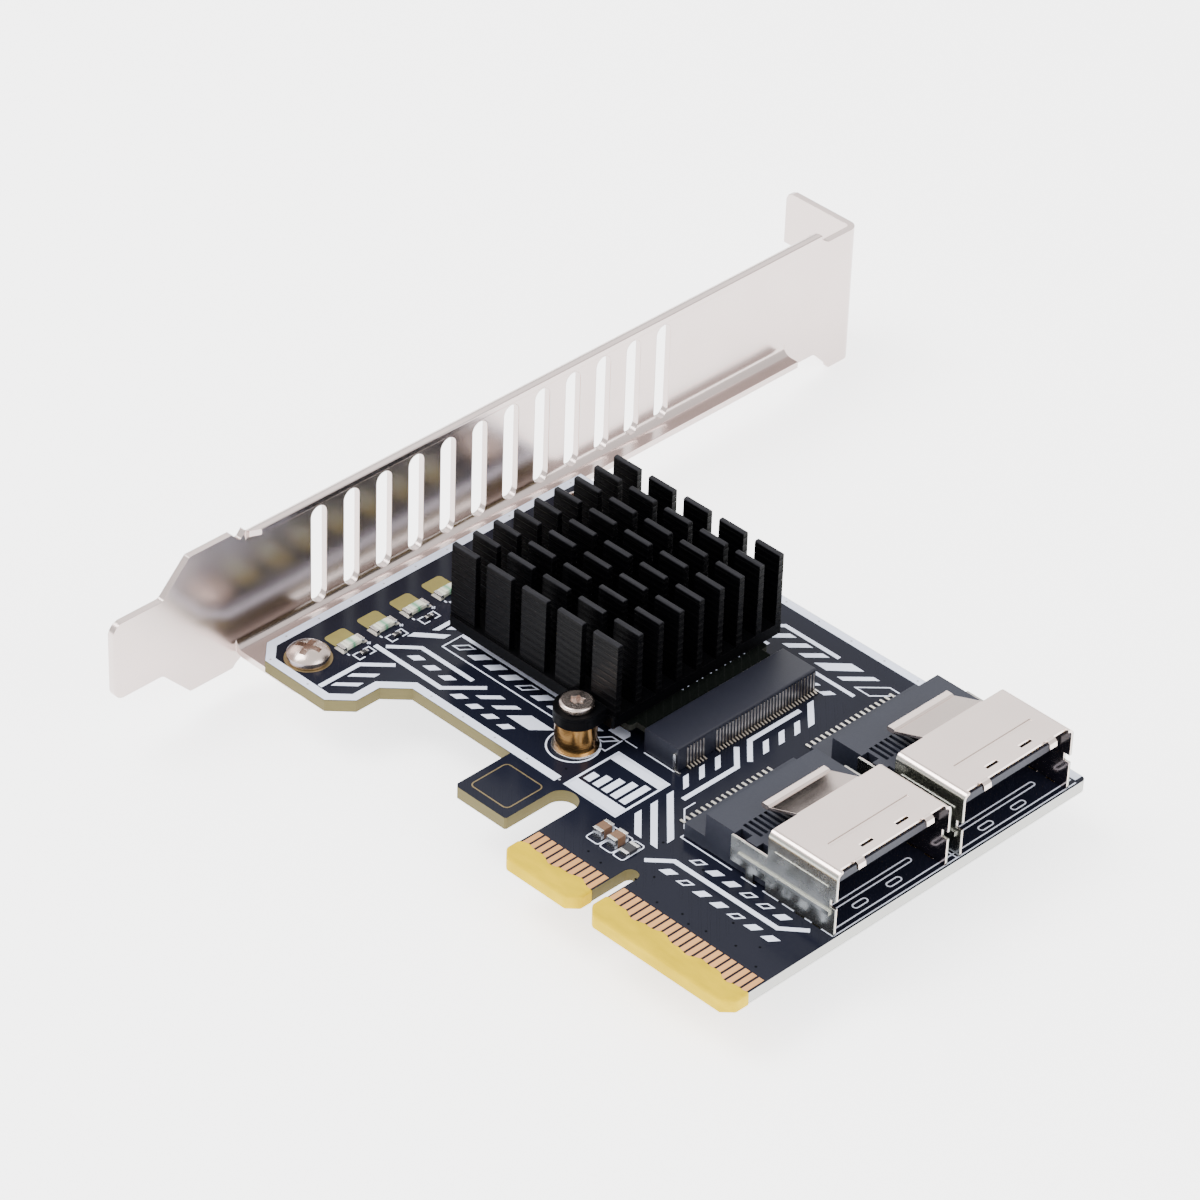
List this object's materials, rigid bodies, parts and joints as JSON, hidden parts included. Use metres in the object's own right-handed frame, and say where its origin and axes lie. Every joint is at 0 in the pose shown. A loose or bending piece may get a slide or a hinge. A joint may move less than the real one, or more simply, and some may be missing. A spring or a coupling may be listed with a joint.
{
  "type": "sata controller card",
  "caption": "Low black expansion card with gold edge fingers, vented rear bracket, finned heat sink over a plug-in module and two shielded cable receptacles.",
  "frame": {"origin": "middle of the key notch, at the tips of the gold fingers, on the board's component face", "axes": "+Y from the finger tips across the board, along the rear bracket; +X away from the bracket, along the finger row; +Z out of the board's component face"},
  "size_m": [0.094, 0.1201, 0.0218],
  "materials": {
    "solder_mask": "glossy black mask with white print",
    "gold": "plated, satin",
    "film": "clear yellow film",
    "bracket_steel": "nickel plated, satin",
    "screw_steel": "nickel plated, bright",
    "shield_steel": "nickel plated, satin",
    "dark_plastic": "satin",
    "black_anodised": "black anodised",
    "brass": "turned, bright",
    "tin": "tinned",
    "module_mask": "glossy dark green mask",
    "chip_black": "matte",
    "soft_pad": "matte",
    "led_lens": "clear greenish",
    "ceramic_brown": "satin",
    "ceramic_dark": "satin"
  },
  "bodies": {
    "root": {"main_board": "solder_mask", "gold_fingers": "gold", "film_short": "film", "film_long": "film", "bracket": "bracket_steel", "bracket_screws": "screw_steel", "module_socket": "dark_plastic", "socket_pins": "gold", "socket_tabs": "tin", "module_board": "module_mask", "controller_chip": "chip_black", "thermal_pad": "soft_pad", "heat_sink": "black_anodised", "sink_posts": "brass", "post_bases": "tin", "post_screws": "screw_steel", "led_bodies": "led_lens", "led_ends": "tin", "resistor_bodies": "ceramic_dark", "resistor_ends": "tin", "capacitor_bodies": "ceramic_brown", "chip_resistor": "ceramic_dark", "capacitor_ends": "tin", "port_housing_near": "dark_plastic", "port_tails_near": "tin", "port_contacts_near": "gold", "port_shield_near": "shield_steel", "port_housing_far": "dark_plastic", "port_tails_far": "tin", "port_contacts_far": "gold", "port_shield_far": "shield_steel"}
  },
  "joints": []
}
